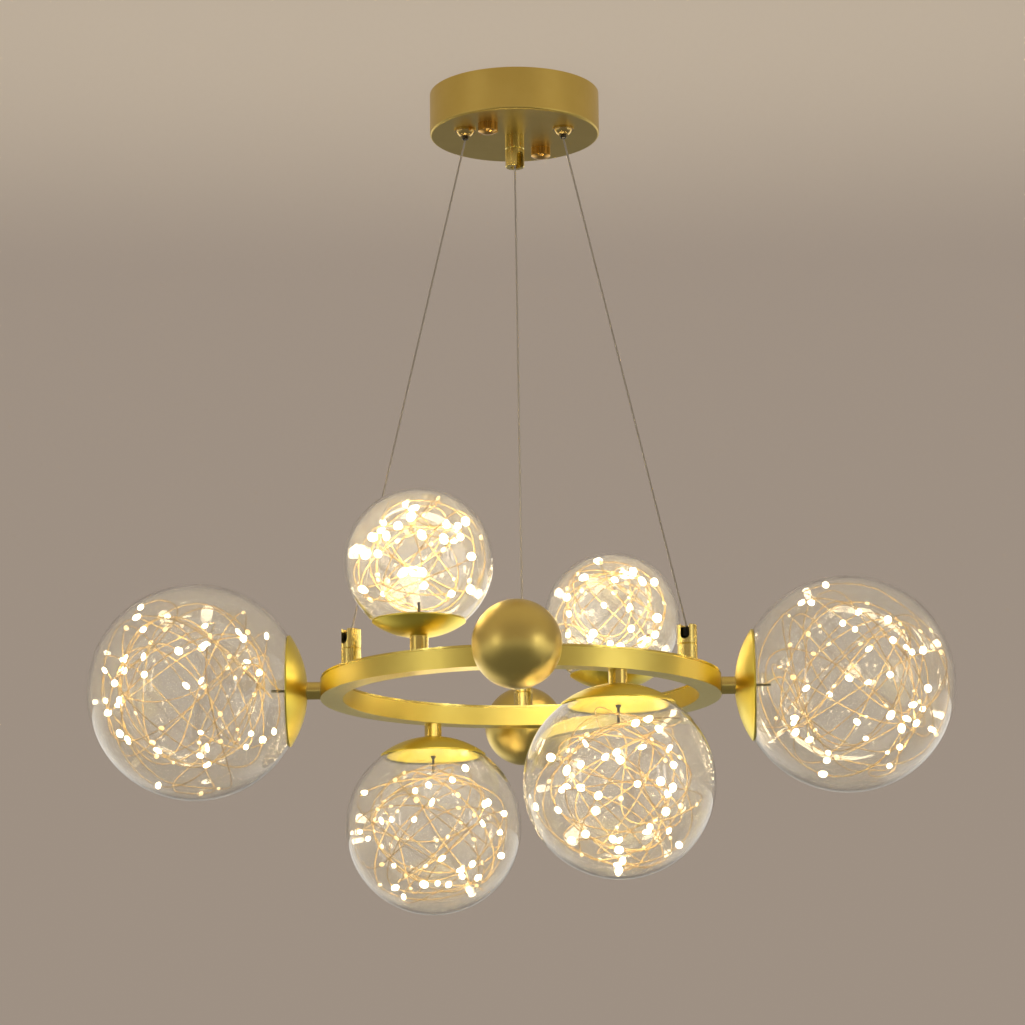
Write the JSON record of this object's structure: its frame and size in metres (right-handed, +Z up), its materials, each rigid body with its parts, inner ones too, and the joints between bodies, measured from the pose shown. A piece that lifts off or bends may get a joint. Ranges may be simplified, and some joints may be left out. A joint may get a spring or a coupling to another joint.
{
  "type": "orb chandelier",
  "caption": "Flat ring hung level on steel cables from a round canopy, with clear glass globes that hold string lights and plain gold balls set around it.",
  "frame": {"origin": "centre of the canopy in the ceiling's plane", "axes": "+Z up, -Y towards the viewer (the front ball), +X to the right large globe"},
  "size_m": [0.5858, 0.4012, 0.5613],
  "materials": {
    "canopy_gold": "satin, lacquered",
    "ring_gold": "satin, lacquered",
    "cover_gold": "satin, lacquered",
    "coupler_gold": "satin",
    "stem_gold": "polished",
    "cap_gold": "satin",
    "ball_gold": "satin, lacquered",
    "gripper_gold": "polished",
    "nut_gold": "polished, fluted",
    "plate_steel": "bright pressed sheet",
    "clear_glass": "clear blown",
    "copper_wire": "lacquered copper wire with glowing beads",
    "cable_jacket": "steel rope in a clear jacket",
    "stop_dark": "blackened",
    "nozzle_dark": "dark nickel",
    "zinc_strap": "zinc plated",
    "zinc_screw": "zinc plated",
    "driver_white": "moulded"
  },
  "bodies": {
    "ceiling_part": {"cable_gripper_left": "gripper_gold", "cable_gripper_right": "gripper_gold", "cable_tails": "cable_jacket", "canopy": "canopy_gold", "canopy_screws": "zinc_screw", "cap_nut_back": "nut_gold", "cap_nut_front": "nut_gold", "ceiling_strap": "zinc_strap", "coupler_base_canopy": "coupler_gold", "coupler_sleeve_canopy": "coupler_gold", "led_driver": "driver_white", "suspension_cable_back": "cable_jacket", "suspension_cable_left": "cable_jacket", "suspension_cable_right": "cable_jacket"},
    "nozzle_left": {"release_nozzle_left": "nozzle_dark"},
    "nozzle_right": {"release_nozzle_right": "nozzle_dark"},
    "hanging_ring": {"cable_stops": "stop_dark", "cap_left": "cap_gold", "cap_lower_left": "cap_gold", "cap_lower_right": "cap_gold", "cap_plate_left": "plate_steel", "cap_plate_lower_left": "plate_steel", "cap_plate_lower_right": "plate_steel", "cap_plate_right": "plate_steel", "cap_plate_upper_left": "plate_steel", "cap_plate_upper_right": "plate_steel", "cap_right": "cap_gold", "cap_upper_left": "cap_gold", "cap_upper_right": "cap_gold", "coupler_base_back": "coupler_gold", "coupler_base_left": "coupler_gold", "coupler_base_right": "coupler_gold", "coupler_sleeve_back": "coupler_gold", "coupler_sleeve_left": "coupler_gold", "coupler_sleeve_right": "coupler_gold", "glass_globe_left": "clear_glass", "glass_globe_lower_left": "clear_glass", "glass_globe_lower_right": "clear_glass", "glass_globe_right": "clear_glass", "glass_globe_upper_left": "clear_glass", "glass_globe_upper_right": "clear_glass", "gold_ball_back": "ball_gold", "gold_ball_front": "ball_gold", "light_string_left": "copper_wire", "light_string_lower_left": "copper_wire", "light_string_lower_right": "copper_wire", "light_string_right": "copper_wire", "light_string_upper_left": "copper_wire", "light_string_upper_right": "copper_wire", "ring_channel": "ring_gold", "ring_cover": "cover_gold", "stem_back": "stem_gold", "stem_front": "stem_gold", "stem_left": "stem_gold", "stem_lower_left": "stem_gold", "stem_lower_right": "stem_gold", "stem_right": "stem_gold", "stem_upper_left": "stem_gold", "stem_upper_right": "stem_gold"}
  },
  "joints": [
    {"name": "height_adjust", "type": "slide", "parent": "ceiling_part", "child": "hanging_ring", "axis": [0, 0, 1], "range_m": [0, 0.15], "deforming": ["suspension_cable_left", "suspension_cable_right", "suspension_cable_back"]},
    {"name": "release_left", "type": "slide", "parent": "ceiling_part", "child": "nozzle_left", "axis": [0, 0, 1], "range_m": [0, 0.0018], "stiffness_N_per_m": 1500},
    {"name": "release_right", "type": "slide", "parent": "ceiling_part", "child": "nozzle_right", "axis": [0, 0, 1], "range_m": [0, 0.0018], "stiffness_N_per_m": 1500}
  ]
}
